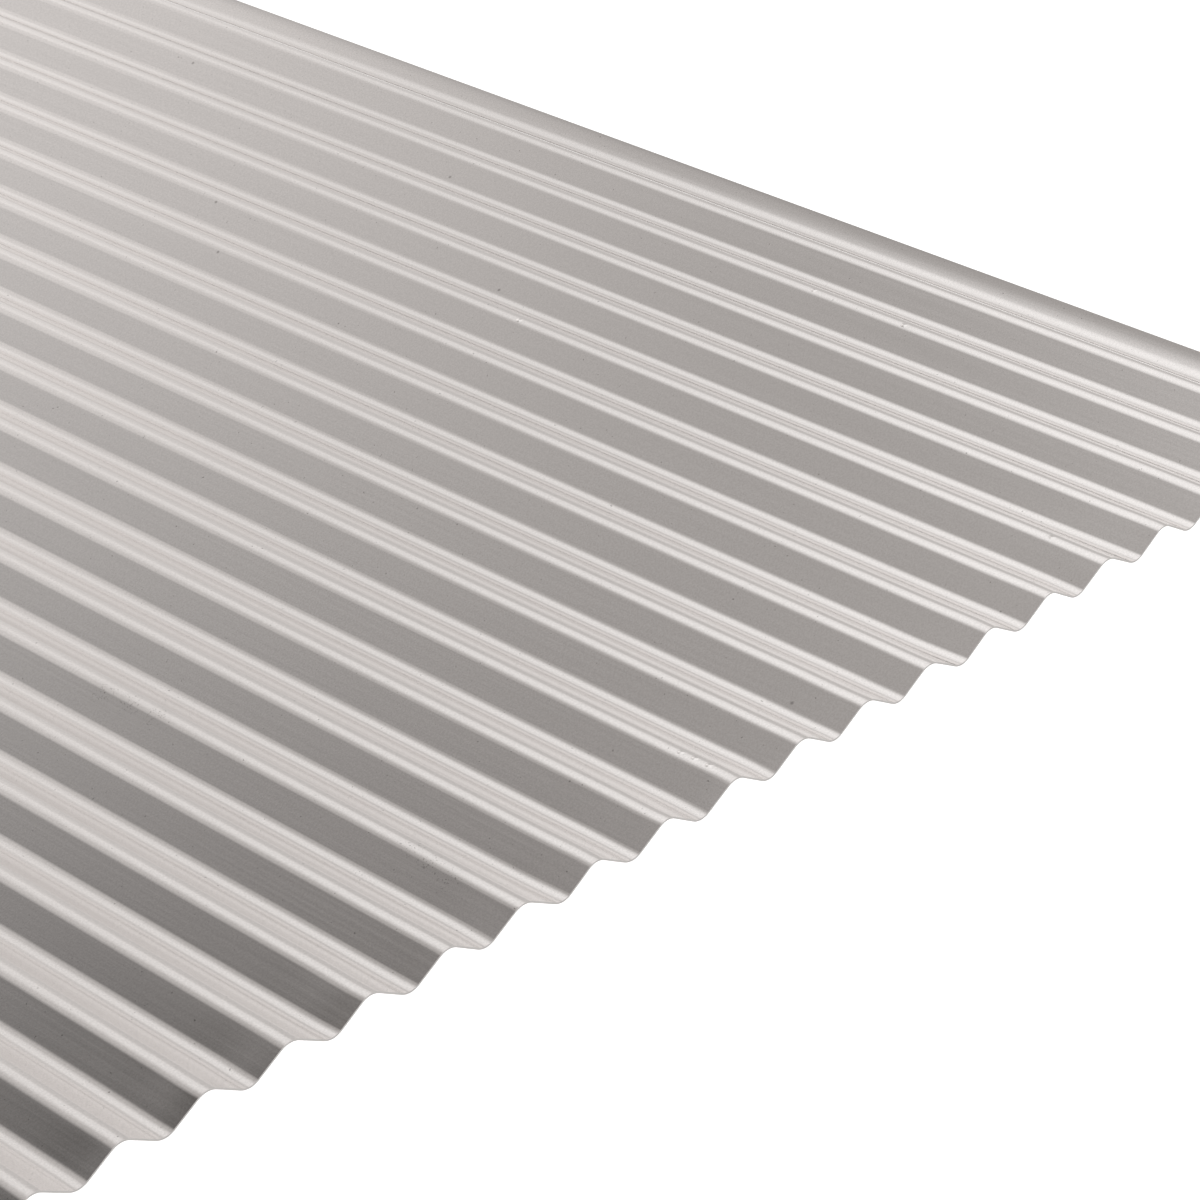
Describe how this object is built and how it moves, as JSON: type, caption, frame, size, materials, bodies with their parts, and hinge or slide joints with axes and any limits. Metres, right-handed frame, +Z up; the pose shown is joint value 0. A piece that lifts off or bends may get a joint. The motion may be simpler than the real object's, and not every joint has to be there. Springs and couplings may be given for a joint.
{
  "type": "corrugated metal sheet",
  "caption": "Thin roll-formed sheet of bare metal with fine rounded waves along its length, sheared square at both ends, for lapping over battens as roofing, wall cladding or lining.",
  "frame": {"origin": "middle of the sheet's underside, level with the bottoms of the troughs", "axes": "+Y along the waves, +X across them, +Z up out of the upper face of the sheet as it lies flat"},
  "size_m": [0.8408, 1.8, 0.0065],
  "materials": {
    "metal": "satin mill finish with fine rolling lines along the waves"
  },
  "bodies": {
    "root": {"corrugated_sheet": "metal"}
  },
  "joints": []
}
